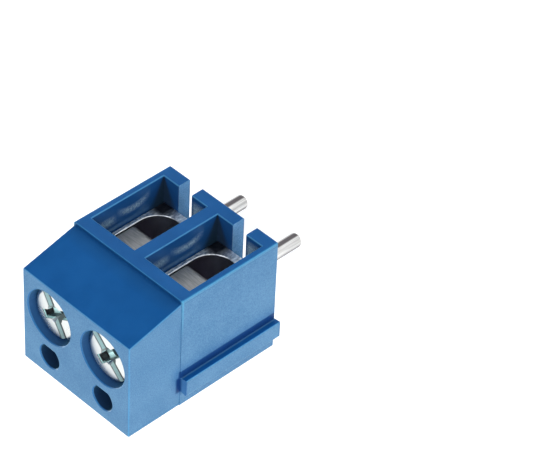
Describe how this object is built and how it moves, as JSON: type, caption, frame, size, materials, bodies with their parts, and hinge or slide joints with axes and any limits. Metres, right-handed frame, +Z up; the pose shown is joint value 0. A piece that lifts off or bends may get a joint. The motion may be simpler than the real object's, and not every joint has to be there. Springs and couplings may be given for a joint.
{
  "type": "pcb screw terminal",
  "caption": "Board terminal with screw-driven wire clamps in a moulded housing, solder pins below, and a rib and groove for joining side by side.",
  "frame": {"origin": "on the seating face (the plane that meets the circuit board), midway between the two solder pins", "axes": "+Z up, from the board towards the screw heads; the wire entries face -Y; +X along the row of poles, towards the side with the joining groove"},
  "size_m": [0.0105, 0.0089, 0.0169],
  "materials": {
    "housing_plastic": "blue moulded plastic, satin gloss",
    "clamp_metal": "brass with bright tin plating",
    "guard_metal": "brushed stainless sheet",
    "screw_metal": "zinc-plated steel",
    "pin_metal": "brass wire with bright tin plating"
  },
  "bodies": {
    "block": {"housing": "housing_plastic", "clamp_1": "clamp_metal", "clamp_2": "clamp_metal", "pin_1": "pin_metal", "pin_2": "pin_metal"},
    "plate_1": {"wire_guard_1": "guard_metal"},
    "plate_2": {"wire_guard_2": "guard_metal"},
    "driver_1": {"screw_1": "screw_metal"},
    "driver_2": {"screw_2": "screw_metal"}
  },
  "joints": [
    {"name": "clamp_travel_1", "type": "slide", "parent": "block", "child": "plate_1", "axis": [0, 0, -1], "range_m": [-0.00085, 0.00095]},
    {"name": "screw_turn_1", "type": "hinge", "parent": "plate_1", "child": "driver_1", "pos_m": [0.0025, 0, 0.012], "axis": [0, 0, -1], "range_deg": [-680, 760]},
    {"name": "clamp_travel_2", "type": "slide", "parent": "block", "child": "plate_2", "axis": [0, 0, -1], "range_m": [-0.00085, 0.00095]},
    {"name": "screw_turn_2", "type": "hinge", "parent": "plate_2", "child": "driver_2", "pos_m": [-0.0025, 0, 0.012], "axis": [0, 0, -1], "range_deg": [-680, 760]}
  ],
  "couplings": [
    {"joint": "screw_turn_1", "follows": "clamp_travel_1", "rad_per_m": 13960},
    {"joint": "screw_turn_2", "follows": "clamp_travel_2", "rad_per_m": 13960}
  ]
}
